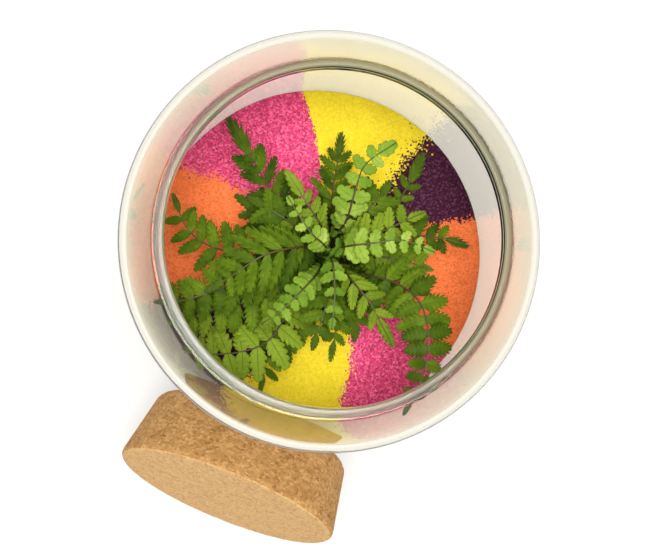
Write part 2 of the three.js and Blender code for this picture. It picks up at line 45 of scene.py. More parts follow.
JAR_HEIGHT = 188.7
BODY_RADIUS = 63.4
WALL = 2.3
BASE_THICKNESS = 4.0
HEEL_RADIUS = 8.0
SHOULDER_RADIUS = 12.0
LIP_RADIUS = 50.25  # to the middle of the lip's bead
LIP_BEAD = 1.4  # radius of the bead itself
LIP_EDGE = 0.6  # rounding of the mouth's two inner edges
CLEARANCE = 0.3  # between pieces that touch on the real thing

SAND_TOP = 116.9
SAND_LAYER = 18.0  # depth of the sand over the soil
SAND_WALL = 14.0  # and between the soil and the glass
SAND_HOLLOW = {"at": (-42.0, 42.0), "depth": 4.5, "spread": 34.0}  # on the pink side
SOIL_NECK = 16.5  # radius of the soil that shows round the fern
SOIL_DOME = 1.6  # rise of the soil above the sand
SOIL_EDGE = 5.0  # how far its outer edges are cut back
CROWN = (3.0, -1.0)  # centre of the fern's crown

STEM = {
    "width": 1.5,
    "depth": 9.0,  # how deep it stands in the soil
    "rise": 5.0,  # height at which it starts to arch
    "thinning": 0.55,  # how much thinner it is where the blade begins
    "taper": 0.5,  # how much thinner again the rib is at its tip
    "flat": 0.75,  # height of its upper half, as a share of the lower one
    "sides": 8,
    "steps": 46,
}
LEAF_THICKNESS = 0.35

CORK = {
    "small": 45.0,  # radius at one face
    "large": 48.8,  # and at the other
    "thickness": 29.8,
    "edge": 2.2,  # rounding of its rims
    "side_from": -5,  # degrees round it where its side begins
    "lean": 23.3,  # degrees that its axis tilts up
    "azimuth": -113.9,  # direction in which its large face looks
    "sideways": 9.0,  # how far its centre lies off the line from the jar's axis
    "gap": 0.42,  # added where its rim meets the jar
}

INNER_RADIUS = BODY_RADIUS - WALL
INNER_HEEL = HEEL_RADIUS - WALL
SAND_RADIUS = INNER_RADIUS - CLEARANCE
SAND_BOTTOM = BASE_THICKNESS + CLEARANCE
SOIL_TOP = SAND_TOP + SOIL_DOME
SOIL_SHOULDER = SAND_TOP - SAND_LAYER
SOIL_RADIUS = SAND_RADIUS - SAND_WALL
LIP_HEIGHT = JAR_HEIGHT - LIP_BEAD
LIP_FOOT = LIP_HEIGHT - 0.6 * LIP_BEAD  # where the lip's duller glass begins
SHOULDER_TOP = LIP_HEIGHT - 0.8 * LIP_BEAD

# ---- camera

CAMERA_AT = (-24.997, -22.153, 430.721)
CAMERA_LOOKS = (0.093, 0.041, -1.0)
CAMERA_LENS = 47.05
CAMERA_NEAR = 0.01  # in metres


def add_camera():
    data = bpy.data.cameras.new("camera")
    data.lens = CAMERA_LENS
    data.clip_start = CAMERA_NEAR
    camera = bpy.data.objects.new("camera", data)
    forward = Vector(CAMERA_LOOKS).normalized()
    right = (Vector((1, 0, 0)) - forward * forward.x).normalized()
    up = right.cross(forward)
    turn = Matrix((right, up, -forward)).transposed().to_4x4()
    camera.matrix_world = Matrix.Translation(Vector(CAMERA_AT) * MM) @ turn
    bpy.context.scene.collection.objects.link(camera)
    bpy.context.scene.camera = camera


# ---- small helpers

def smooth_step(low, high, value):
    share = min(1.0, max(0.0, (value - low) / (high - low)))
    return share * share * (3 - 2 * share)


def lerp(a, b, share):
    return a + (b - a) * share


def arc(centre_x, centre_y, radius, from_degrees, to_degrees, steps):
    """Points of an arc in the profile plane, both ends included."""
    angles = np.radians(np.linspace(from_degrees, to_degrees, steps + 1))
    return [(centre_x + radius * math.cos(a), centre_y + radius * math.sin(a)) for a in angles]


def wave(x, y, scale, seed):
    """A smooth natural wave over the plan, between -1 and 1."""
    return noise.noise(Vector((x * scale, y * scale, seed)))


class Draw:
    """The same numbers each time, for small natural differences."""

    FACTOR = 1664525
    STEP = 1013904223
    RANGE = 2 ** 32

    def __init__(self, seed):
        self.state = seed

    def __call__(self):
        self.state = (self.state * self.FACTOR + self.STEP) % self.RANGE
        return self.state / self.RANGE


def within(limits, draw):
    """A value drawn from a range."""
    low, high = limits
    return low + (high - low) * draw()


class Shape:
    """The points and faces of one piece, with a material number for each face and a coordinate
    of its own for each point, which its material reads."""

    def __init__(self):
        self.points = []
        self.faces = []
        self.slots = []
        self.marks = []

    def add_points(self, points, marks=None):
        first = len(self.points)
        self.points.extend(tuple(p) for p in points)
        self.marks.extend(marks if marks is not None else [(0.0, 0.0, 0.0)] * len(points))
        return first

    def add_face(self, corners, slot=0):
        self.faces.append(tuple(corners))
        self.slots.append(slot)

    def add_grid(self, first, rows, columns, slot=0, closed=False, flip=False):
        """Faces between rows of points. closed joins the last column to the first."""
        for i in range(rows - 1):
            for j in range(columns if closed else columns - 1):
                k = (j + 1) % columns
                a, b = first + i * columns + j, first + i * columns + k
                face = (a, b, b + columns, a + columns)
                self.add_face(face[::-1] if flip else face, slot)

    def make(self, name, materials, replaces, slot):
        """The finished piece, with the nodes of the CAD model that it stands for."""
        mesh = bpy.data.meshes.new(name)
        mesh.from_pydata([(x * MM, y * MM, z * MM) for x, y, z in self.points], [], self.faces)
        mesh.polygons.foreach_set("material_index", self.slots)
        mesh.polygons.foreach_set("use_smooth", [True] * len(self.faces))
        marks = mesh.attributes.new("mark", "FLOAT_VECTOR", "POINT")
        marks.data.foreach_set("vector", np.array(self.marks, np.float32).ravel())
        for material in materials:
            mesh.materials.append(material)
        mesh.validate()
        mesh.update()
        piece = bpy.data.objects.new(name, mesh)
        bpy.context.scene.collection.objects.link(piece)
        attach(piece, "root")
        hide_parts(*replaces)


ON_AXIS = 1e-6  # a profile point nearer to the axis than this is a pole


def turned(profile, segments):
    """A closed shape turned round the jar's axis from (radius, height) points."""
    shape = Shape()
    inner = [p for p in profile if p[0] > ON_AXIS]
    rings = []
    for radius, height in inner:
        for k in range(segments):
            angle = 2 * math.pi * k / segments
            rings.append((radius * math.cos(angle), radius * math.sin(angle), height))
    first = shape.add_points(rings)
    shape.add_grid(first, len(inner), segments, closed=True)
    if profile[0][0] <= ON_AXIS:
        pole = shape.add_points([(0, 0, profile[0][1])])
        for k in range(segments):
            shape.add_face((pole, first + (k + 1) % segments, first + k))
    if profile[-1][0] <= ON_AXIS:
        pole = shape.add_points([(0, 0, profile[-1][1])])
        last = first + (len(inner) - 1) * segments
        for k in range(segments):
            shape.add_face((pole, last + k, last + (k + 1) % segments))
    return shape


# ---- materials

class Recipe:
    """A material being made. Its calls add a node each and give the output that others take."""

    MIX_INPUTS, MIX_RESULT = (0, 6, 7), 2  # sockets of a mix of colours

    def __init__(self, name, roughness):
        self.material = bpy.data.materials.new(name)
        self.material.use_nodes = True
        self.tree = self.material.node_tree
        self.tree.nodes.clear()
        self.surface = self.tree.nodes.new("ShaderNodeBsdfPrincipled")
        self.surface.inputs["Roughness"].default_value = roughness
        self.output = self.tree.nodes.new("ShaderNodeOutputMaterial")
        self.tree.links.new(self.surface.outputs["BSDF"], self.output.inputs["Surface"])

    def put(self, socket, value):
        if isinstance(value, bpy.types.NodeSocket):
            self.tree.links.new(value, socket)
        elif isinstance(value, tuple) and len(value) == 3 and socket.type == "RGBA":
            socket.default_value = (*value, 1.0)
        else:
            socket.default_value = value

    def node(self, kind, inputs, **settings):
        node = self.tree.nodes.new(kind)
        for name, value in settings.items():
            setattr(node, name, value)
        for key, value in inputs.items():
            self.put(node.inputs[key], value)
        return node

    def place(self):
        return self.node("ShaderNodeTexCoord", {}).outputs["Object"]

    def mark(self):
        return self.node("ShaderNodeAttribute", {}, attribute_name="mark").outputs["Vector"]

    def parts(self, vector):
        split = self.node("ShaderNodeSeparateXYZ", {"Vector": vector})
        return split.outputs["X"], split.outputs["Y"], split.outputs["Z"]

    def join(self, x, y, z):
        return self.node("ShaderNodeCombineXYZ", {"X": x, "Y": y, "Z": z}).outputs["Vector"]

    def math(self, operation, a, b=0.0):
        return self.node("ShaderNodeMath", {0: a, 1: b}, operation=operation).outputs["Value"]

    def weighed(self, *terms):
        """The sum of some values, each times its own weight."""
        total = self.math("MULTIPLY", *terms[0])
        for value, weight in terms[1:]:
            total = self.math("ADD", total, self.math("MULTIPLY", value, weight))
        return total

    def noise(self, vector, scale, detail=3.0, roughness=0.55):
        inputs = {"Vector": vector, "Scale": scale, "Detail": detail, "Roughness": roughness}
        return self.node("ShaderNodeTexNoise", inputs).outputs["Fac"]

    def cells(self, vector, scale):
        node = self.node("ShaderNodeTexVoronoi", {"Vector": vector, "Scale": scale})
        return node.outputs["Distance"], node.outputs["Color"]

    def stretch(self, vector, scale):
        return self.node("ShaderNodeMapping", {"Vector": vector, "Scale": scale}).outputs["Vector"]

    def ramp(self, value, stops):
        node = self.node("ShaderNodeValToRGB", {"Fac": value})
        ramp = node.color_ramp
        while len(ramp.elements) < len(stops):
            ramp.elements.new(0.5)
        for element, (at, colour) in zip(ramp.elements, stops):
            element.position = at
            element.color = (*colour, 1.0)
        return node.outputs["Color"]

    def mix(self, share, first, second, blend="MIX"):
        node = self.node("ShaderNodeMix", {}, data_type="RGBA", blend_type=blend)
        for socket, value in zip(self.MIX_INPUTS, (share, first, second)):
            self.put(node.inputs[socket], value)
        return node.outputs[self.MIX_RESULT]

    def bump(self, height, distance, strength):
        inputs = {"Height": height, "Distance": distance, "Strength": strength}
        self.put(self.surface.inputs["Normal"], self.node("ShaderNodeBump", inputs).outputs["Normal"])

    def set(self, **values):
        for name, value in values.items():
            self.put(self.surface.inputs[name.replace("_", " ").title().replace("Ior", "IOR")], value)


def shade(colour, factor):
    return tuple(min(1.0, c * factor) for c in colour)


GLASS_BODY = {"colour": (0.935, 0.912, 0.82), "roughness": 0.0}
GLASS_LIP = {"colour": (0.95, 0.97, 0.88), "roughness": 0.4}
GLASS_DEPTH = {"Color": (0.80, 0.78, 0.55), "Density": 9.0}  # the tint that thick glass takes


def glass_material(name, colour, roughness):
    glass = Recipe(name, roughness)
    glass.set(base_color=colour, transmission_weight=1.0, ior=1.5)
    ripple = glass.noise(glass.place(), scale=18.0, detail=1.0)
    glass.bump(ripple, distance=0.0006, strength=0.15)
    tint = glass.node("ShaderNodeVolumeAbsorption", GLASS_DEPTH)
    glass.tree.links.new(tint.outputs["Volume"], glass.output.inputs["Volume"])
    return glass.material


SAND_COLOURS = {
    "orange": (0.98, 0.20, 0.055),
    "purple": (0.054, 0.008, 0.030),
    "yellow": (0.90, 0.69, 0.024),
    "pink": (0.82, 0.065, 0.205),
}
# The darkest and lightest grains beside their colour, and the share of white in the lightest.
SAND_GRAINS = {
    "orange": (0.72, 1.12, 0.03),
    "purple": (0.6, 2.0, 0.03),
    "yellow": (0.88, 1.06, 0.03),
    "pink": (0.48, 1.4, 0.12),
}
GRAIN_SCALE = 1700.0  # grains to a metre
GRAIN_WHITE = 0.9
GRAIN_DUSK = 0.7  # how near its own colour a fairly dark grain is
SAND_PATCHES = [(0.3, (0.9, 0.9, 0.9)), (0.7, (1.0, 1.0, 1.0))]


def sand_material(name, own, before, after):
    """Grains of one colour, with grains of the next colours strewn in along its two sides."""
    sand = Recipe(name, roughness=0.75)
    place = sand.place()
    distance, random_colour = sand.cells(place, GRAIN_SCALE)
    tone, pick, stray = sand.parts(random_colour)
    to_before, to_after, _ = sand.parts(sand.mark())

    def grains(colour):
        dark, light, white = SAND_GRAINS[colour]
        base = SAND_COLOURS[colour]
        palest = tuple(lerp(c, GRAIN_WHITE, white) for c in shade(base, light))
        dusky = shade(base, lerp(dark, 1.0, GRAIN_DUSK))
        return sand.ramp(tone, [(0.0, shade(base, dark)), (0.3, dusky), (0.6, base), (1.0, palest)])

    colour = grains(own)
    near_before = sand.math("LESS_THAN", pick, to_before)
    colour = sand.mix(near_before, colour, grains(before))
    near_after = sand.math("LESS_THAN", stray, to_after)
    colour = sand.mix(near_after, colour, grains(after))
    patches = sand.ramp(sand.noise(place, scale=90.0, detail=2.0), SAND_PATCHES)
    sand.set(base_color=sand.mix(1.0, colour, patches, "MULTIPLY"), specular_ior_level=0.12)
    sand.bump(sand.math("SUBTRACT", 1.0, distance), distance=0.00025, strength=0.5)
    return sand.material


SOIL_TONES = [
    (0.3, (0.006, 0.004, 0.003)),
    (0.55, (0.025, 0.015, 0.009)),
    (0.75, (0.075, 0.045, 0.025)),
]


def soil_material():
    soil = Recipe("soil", roughness=0.9)
    crumbs = soil.noise(soil.place(), scale=420.0, detail=5.0)
    soil.set(base_color=soil.ramp(crumbs, SOIL_TONES))
    soil.bump(crumbs, distance=0.0008, strength=0.8)
    return soil.material


# the dark, middle and light tones of a leaflet, and the colour of its veins
LEAF_COLOURS = {
    "leaf": ((0.020, 0.048, 0.003), (0.084, 0.147, 0.006), (0.190, 0.275, 0.020),
             (0.055, 0.085, 0.010)),
    "young_leaf": ((0.085, 0.170, 0.012), (0.190, 0.305, 0.030), (0.400, 0.520, 0.105),
                   (0.130, 0.210, 0.026)),
}
LEAF_LOOK = {
    "mottle": 0.5,  # weight of the fine mottle in the tone that shows
    "tone": 0.62,  # weight of the leaflet's own tone
    "slant": 0.8,  # teeth from a side vein's start out to its end
    "side_from": 0.43,  # from the middle of a tooth to its vein, in teeth
    "side_weight": 0.45,  # how plain the side veins are beside the midrib
    "midrib": 0.07,  # half width of the midrib, as a share of the leaflet's
    "vein_weight": 0.6,  # how much of the veins' own colour shows
    "mottle_relief": 0.3,
}


def leaf_material(name):
    """A leaflet. Its mark holds the tooth count along it, the share across it and its own tone, which
    painted shade makes darker low on the stem and deep in the crown.
    """
    dark, middle, light, vein = LEAF_COLOURS[name]
    leaf = Recipe(name, roughness=0.42)
    along, across, tone = leaf.parts(leaf.mark())
    aside = leaf.math("ABSOLUTE", across)
    mottle = leaf.noise(leaf.place(), scale=260.0)
    mixed = leaf.weighed((mottle, LEAF_LOOK["mottle"]), (tone, LEAF_LOOK["tone"]))
    green = leaf.ramp(mixed, [(0.25, dark), (0.55, middle), (0.85, light)])
    slanted = leaf.math("SUBTRACT", along, leaf.math("MULTIPLY", aside, LEAF_LOOK["slant"]))
    phase = leaf.math("FRACT", slanted)
    from_middle = leaf.math("ABSOLUTE", leaf.math("SUBTRACT", phase, 0.5))
    side_vein = leaf.math("GREATER_THAN", from_middle, LEAF_LOOK["side_from"])
    midrib = leaf.math("LESS_THAN", aside, LEAF_LOOK["midrib"])
    faint = leaf.math("MULTIPLY", side_vein, LEAF_LOOK["side_weight"])
    veins = leaf.math("MAXIMUM", faint, midrib)
    shown = leaf.math("MULTIPLY", veins, LEAF_LOOK["vein_weight"])
    leaf.set(base_color=leaf.mix(shown, green, vein), specular_ior_level=0.05)
    raised = leaf.math("MULTIPLY", mottle, LEAF_LOOK["mottle_relief"])
    leaf.bump(leaf.math("SUBTRACT", raised, veins), distance=0.0002, strength=0.5)
    return leaf.material


STEM_TONES = [
    (0.1, (0.06, 0.085, 0.012)),
    (0.5, (0.07, 0.045, 0.012)),
    (0.8, (0.055, 0.025, 0.010)),
    (1.0, (0.07, 0.09, 0.015)),
]
STEM_MOTTLE = 0.3


def stem_material():
    """A stem and its rib. Its mark holds the share along it."""
    stem = Recipe("stem", roughness=0.5)
    along, _, _ = stem.parts(stem.mark())
    mottle = stem.noise(stem.place(), scale=300.0)
    mixed = stem.math("ADD", stem.math("MULTIPLY", mottle, STEM_MOTTLE), along)
    stem.set(base_color=stem.ramp(mixed, STEM_TONES))
    stem.bump(mottle, distance=0.0002, strength=0.4)
    return stem.material


CORK_SIDE_TONES = [
    (0.25, (0.25, 0.108, 0.030)),
    (0.42, (0.385, 0.198, 0.062)),
    (0.62, (0.475, 0.258, 0.092)),
    (0.85, (0.61, 0.355, 0.138)),
]
# the large face: the cork's own colour, made lighter than the side as painted light falling on it
CORK_FACE_TONES_WITH_PAINTED_LIGHT = [
    (0.25, (0.36, 0.19, 0.072)),
    (0.45, (0.57, 0.337, 0.143)),
    (0.7, (0.70, 0.45, 0.207)),
]
CORK_LOOK = {
    "warp": 0.004,  # how far the granules are pushed about, in metres
    "granule": (1.0, 1.0, 1.5),  # how flat they are pressed along each axis
    "streak": (1.0, 4.0, 1.0),  # and the streaks of the cut face
    "tone": 0.42,  # on the side, the weight of a granule's own tone
    "fine": 0.7,  # of the fine grain
    "clumps": 0.5,  # and of darker and lighter clumps
    "face_tone": 0.25,  # on the face, the weight of a granule's own tone
    "streaks": 0.8,  # and of the streaks
    "face_depth": 0.6,  # depth of the large face's look
}


def cork_material():
    """Pressed cork granules, with painted light on the large face, which is drawn in lighter tones than
    the side. Its mark holds the stopper's own place, in metres.
    """
    cork = Recipe("cork", roughness=0.85)
    mark = cork.mark()
    warp = cork.noise(mark, scale=160.0, detail=2.0)
    shift = cork.math("MULTIPLY", warp, CORK_LOOK["warp"])
    x, y, z = cork.parts(mark)
    warped = cork.join(cork.math("ADD", x, shift), cork.math("ADD", y, shift), z)
    _, granule = cork.cells(cork.stretch(warped, CORK_LOOK["granule"]), scale=760.0)
    tone, second_tone, _ = cork.parts(granule)
    fine = cork.noise(mark, scale=1300.0, detail=4.0, roughness=0.7)
    grain = cork.weighed((tone, CORK_LOOK["tone"]), (fine, CORK_LOOK["fine"]))
    clump = cork.math("MULTIPLY", cork.math("SUBTRACT", warp, 0.5), CORK_LOOK["clumps"])
    side = cork.ramp(cork.math("ADD", grain, clump), CORK_SIDE_TONES)
    stretched = cork.stretch(mark, CORK_LOOK["streak"])
    streaks = cork.noise(stretched, scale=420.0, detail=4.0, roughness=0.7)
    cut = cork.weighed((second_tone, CORK_LOOK["face_tone"]), (streaks, CORK_LOOK["streaks"]))
    # painted light: the large face is drawn lighter than the side, over the streaks of its own cut
    # grain
    face = cork.ramp(cut, CORK_FACE_TONES_WITH_PAINTED_LIGHT)
    on_face = cork.math("GREATER_THAN", z, (CORK["thickness"] - CORK_LOOK["face_depth"]) * MM)
    cork.set(base_color=cork.mix(on_face, side, face), specular_ior_level=0.2)
    cork.bump(grain, distance=0.0007, strength=0.8)
    return cork.material


FLOOR_GREY = (0.45, 0.45, 0.45)
FLOOR_GLOW = 0.42


def floor_material():
    """White paper lit from below as well, as on a light table, so that shadows stay faint."""
    floor = Recipe("floor", roughness=0.9)
    floor.set(base_color=FLOOR_GREY, specular_ior_level=0.0)
    floor.set(emission_color=(1.0, 1.0, 1.0), emission_strength=FLOOR_GLOW)
    return floor.material


# ---- glass jar

JAR_SEGMENTS = 180
UNDERSIDE = [(0.0, 1.2), (20.0, 1.1), (40.0, 0.6), (50.0, 0.0)]  # a little hollow in the middle
WALL_RINGS = 12  # up the straight wall, to keep its faces short
WALL_MARGIN = 8.0  # from them to the curved ends
INSIDE_FOOT = 20.0  # height of the lowest one inside
BASE_RING = 30.0  # radius of a ring in the floor inside


def jar_profile():
    shoulder_axis = BODY_RADIUS - SHOULDER_RADIUS
    shoulder_centre = SHOULDER_TOP - SHOULDER_RADIUS
    inner_shoulder = SHOULDER_RADIUS - WALL
    mouth_axis = LIP_RADIUS - LIP_BEAD + LIP_EDGE
    foot, top = HEEL_RADIUS + WALL_MARGIN, shoulder_centre - WALL_MARGIN
    return [
        *UNDERSIDE,
        *arc(BODY_RADIUS - HEEL_RADIUS, HEEL_RADIUS, HEEL_RADIUS, -90, 0, 12),
        *[(BODY_RADIUS, z) for z in np.linspace(foot, top, WALL_RINGS)],
        *arc(shoulder_axis, shoulder_centre, SHOULDER_RADIUS, 0, 88, 20),
        *arc(LIP_RADIUS, LIP_HEIGHT, LIP_BEAD, -35, 90, 14),
        *arc(mouth_axis, JAR_HEIGHT - LIP_EDGE, LIP_EDGE, 90, 180, 8),
        *arc(mouth_axis, shoulder_centre + inner_shoulder + LIP_EDGE, LIP_EDGE, 180, 270, 6),
        *arc(shoulder_axis, shoulder_centre, inner_shoulder, 86, 0, 18),
        *[(INNER_RADIUS, z) for z in np.linspace(top, INSIDE_FOOT, WALL_RINGS)],
        *arc(INNER_RADIUS - INNER_HEEL, BASE_THICKNESS + INNER_HEEL, INNER_HEEL, 0, -90, 8),
        (BASE_RING, BASE_THICKNESS),
        (0.0, BASE_THICKNESS),
    ]


def add_jar():
    """The lip is a little duller than the rest, from the fire that rounded it."""
    shape = turned(jar_profile(), JAR_SEGMENTS)
    shape.slots = [int(min(shape.points[k][2] for k in face) > LIP_FOOT) for face in shape.faces]
    body = glass_material("glass", **GLASS_BODY)
    lip = glass_material("lip_glass", **GLASS_LIP)
    shape.make("glass_jar", [body, lip], ["jar"], "glass")


# ---- sand and soil

# A wedge starts at a line between two colours: start is its place in degrees round the jar, bend
# how it turns inwards, and ragged how far its grains stray, in millimetres.
Wedge = namedtuple("Wedge", "node colour start bend ragged")
SAND_WEDGES = [
    Wedge("sand_orange_a", "orange", -38, 4, 1.0),
    Wedge("sand_purple_a", "purple", 9.7, 11, 0.9),
    Wedge("sand_yellow_a", "yellow", 49.4, -8, 2.0),
    Wedge("sand_pink_a", "pink", 100.6, -21, 0.35),
    Wedge("sand_orange_b", "orange", 155.9, -30, 1.4),
    Wedge("sand_purple_b", "purple", 194, 6, 1.1),
    Wedge("sand_yellow_b", "yellow", 222, 48, 1.6),
    Wedge("sand_pink_b", "pink", 264.2, 45, 0.9),
]
WEDGE_REACH = 1.3 * BODY_RADIUS
GRAIN_STEP = 0.6  # width of the surface's faces
# The waves of such a line: (scale along the radius, scale upwards, seed, share).
LINE_WAVES = [(0.16, 0.05, 0, 1.0), (0.9, 0.5, 40, 0.6)]
LINE_SEED = 7.3  # between the seeds of two lines
# The surface's waves, rolls and grain: (scale, seed, height).
SAND_RELIEF = [(0.09, 3.0, 0.5), (0.4, 9.0, 0.22), (2.1, 1.0, 0.16)]
SAND_SETTLED = 0.5  # how far their middle lies below the sand's top
SIDE_RINGS = 40  # up the sand's outside, against the glass
SIDE_FOOT = 14.0  # height of the lowest of them
SIDE_MARGIN = 7.5  # from the highest to the sand's top
STRAY_SHARE = 0.5  # share of the next colour's grains on the line itself
STRAY_REACH = 0.8  # how far they reach in, as a share of the raggedness


def side_angle(index, radius, height):
    """Angle of the line at which a wedge starts, in radians, ragged as loose sand is."""
    number = index % len(SAND_WEDGES)
    wedge = SAND_WEDGES[number]
    turn = wedge.start + wedge.bend * (1 - radius / WEDGE_REACH)
    if index == len(SAND_WEDGES):
        turn += 360
    stray = 0.0
    for along, upwards, seed, share in LINE_WAVES:
        place = Vector((radius * along, height * upwards, LINE_SEED * number + seed))
        stray += share * noise.noise(place)
    return math.radians(turn) + wedge.ragged * stray / radius


def sand_height(x, y):
    at, spread = SAND_HOLLOW["at"], SAND_HOLLOW["spread"]
    away = math.hypot(x - at[0], y - at[1])
    sink = SAND_HOLLOW["depth"] * math.exp(-((away / spread) ** 2))
    height = SAND_TOP - SAND_SETTLED - sink
    for scale, seed, rise in SAND_RELIEF:
        height += rise * wave(x, y, scale, seed)
    return height


def sand_profile():
    """(radius, height, on top) round a wedge's cross-section, from the foot out and over."""
    neck = SOIL_NECK + CLEARANCE
    hollow = SOIL_RADIUS + CLEARANCE
    ledge = SOIL_SHOULDER + CLEARANCE
    heel = arc(SAND_RADIUS - INNER_HEEL, SAND_BOTTOM + INNER_HEEL, INNER_HEEL, -90, 0, 4)
    side = np.linspace(SIDE_FOOT, SAND_TOP - SIDE_MARGIN, SIDE_RINGS)
    steps = int((SAND_RADIUS - neck) / GRAIN_STEP)
    return [
        (hollow, SAND_BOTTOM, False),
        *[(r, z, False) for r, z in heel],
        *[(SAND_RADIUS, z, False) for z in side],
        *[(r, SAND_TOP, True) for r in np.linspace(SAND_RADIUS, neck, steps)],
        (neck, ledge, False),
        (hollow, ledge, False),
    ]


def sand_wedge(index):
    """One colour's stretch of sand, from its own line round to the next wedge's."""
    profile = sand_profile()
    wedge, following = SAND_WEDGES[index], SAND_WEDGES[(index + 1) % len(SAND_WEDGES)]
    span = math.radians((following.start - wedge.start) % 360)
    rows, columns = len(profile), int(span * SAND_RADIUS / GRAIN_STEP) + 2
    points, marks = [], []
    for radius, height, on_top in profile:
        first = side_angle(index, radius, height)
        last = side_angle(index + 1, radius, height)
        width = (last - first) * radius
        for share in np.linspace(0, 1, columns):
            angle = lerp(first, last, share)
            x, y = radius * math.cos(angle), radius * math.sin(angle)
            points.append((x, y, sand_height(x, y) if on_top else height))
            to_first = math.exp(-share * width / (STRAY_REACH * wedge.ragged))
            to_last = math.exp(-(1 - share) * width / (STRAY_REACH * following.ragged))
            marks.append((STRAY_SHARE * to_first, STRAY_SHARE * to_last, 0.0))
    shape = Shape()
    shape.add_points(points, marks)
    shape.add_grid(0, rows, columns, flip=True)
    shape.add_face((0, *range(columns * (rows - 1), 0, -columns)))
    shape.add_face([i * columns + columns - 1 for i in range(rows)])
    last_row = columns * (rows - 1)
    for j in range(columns - 1):
        shape.add_face((last_row + j, last_row + j + 1, j + 1, j))
    before = SAND_WEDGES[index - 1].colour
    material = sand_material(wedge.node, wedge.colour, before, following.colour)
    shape.make(wedge.node.replace("sand", "grains"), [material], [wedge.node], "sand_" + wedge.colour)


SOIL_SEGMENTS = 96
SOIL_RINGS = 30
SOIL_MIDDLE = 0.4  # radius of the innermost ring
SOIL_FALL = 1.2  # how far its top falls away towards its rim
SOIL_RIM = 3.0  # how far the neck's last ring lies below the sand
LUMPS_FROM = SAND_TOP - 1.5  # height above which it is lumpy
SOIL_RELIEF = [(0.35, 5.0, 0.7), (1.1, 2.0, 0.5)]  # lumps and crumbs: (scale, seed, height)
SOIL_SETTLED = 0.3


def add_soil():
    """Damp soil, lumpy on top, with crumbs round the stems."""
    inset = SOIL_RADIUS - SOIL_EDGE
    top = [(r, SOIL_TOP - SOIL_FALL * (r / SOIL_NECK) ** 4)
           for r in np.linspace(SOIL_NECK, SOIL_MIDDLE, SOIL_RINGS)]
    profile = [
        (0.0, SAND_BOTTOM),
        (inset, SAND_BOTTOM),
        (SOIL_RADIUS, SAND_BOTTOM + SOIL_EDGE),
        (SOIL_RADIUS, SOIL_SHOULDER - SOIL_EDGE),
        (inset, SOIL_SHOULDER),
        (SOIL_NECK, SOIL_SHOULDER),
        (SOIL_NECK, SAND_TOP - SOIL_RIM),
        *top,
        (0.0, SOIL_TOP),
    ]
    shape = turned(profile, SOIL_SEGMENTS)
    lumpy = []
    for x, y, z in shape.points:
        if z > LUMPS_FROM:
            z += sum(rise * wave(x, y, scale, seed) for scale, seed, rise in SOIL_RELIEF)
            z -= SOIL_SETTLED
        lumpy.append((x, y, z))
    shape.points = lumpy
    shape.make("potting_soil", [soil_material()], ["soil_core"], "soil")


# ---- fern

# teeth counts the teeth on each side of a leaflet, depth is how far they are cut in, and
# profile gives the edge within one tooth, as (share of the tooth, share of the cut left in).
# lean is how far the teeth point forward, taper how fast the leaflets grow shorter towards the
# frond's tip, and length and slim a side leaflet's length and half width, as shares of its pair's
# size. tip_slim is the last leaflet's half width, as a share of its length.
SAW = ((0.0, 1.0), (0.4, 0.45), (0.85, 0.0))
BOWED = ((0.0, 1.0), (0.16, 0.35), (0.5, 0.0), (0.84, 0.35))
LONG = {"teeth": 6, "depth": 0.34, "profile": SAW, "lean": 0.6, "slim": 0.24, "tip_slim": 0.17,
        "taper": 0.4, "length": 1.0}
LOBED = {"teeth": 5, "depth": 0.38, "profile": BOWED, "lean": 0.3, "slim": 0.3, "tip_slim": 0.24,
         "taper": 0.35, "length": 1.0}
CUT = {"teeth": 5, "depth": 0.5, "profile": SAW, "lean": 0.8, "slim": 0.31, "tip_slim": 0.18,
       "taper": 0.6, "length": 1.0}
BROAD = {"teeth": 6, "depth": 0.46, "profile": SAW, "lean": 0.7, "slim": 0.31, "tip_slim": 0.22,
         "taper": 0.3, "length": 1.0}
TAPERED = {**BROAD, "taper": 0.65, "slim": 0.42}
ROUND = {"teeth": 3, "depth": 0.3, "profile": BOWED, "lean": 0.2, "slim": 0.36, "tip_slim": 0.34,
         "taper": 0.4, "length": 0.9}

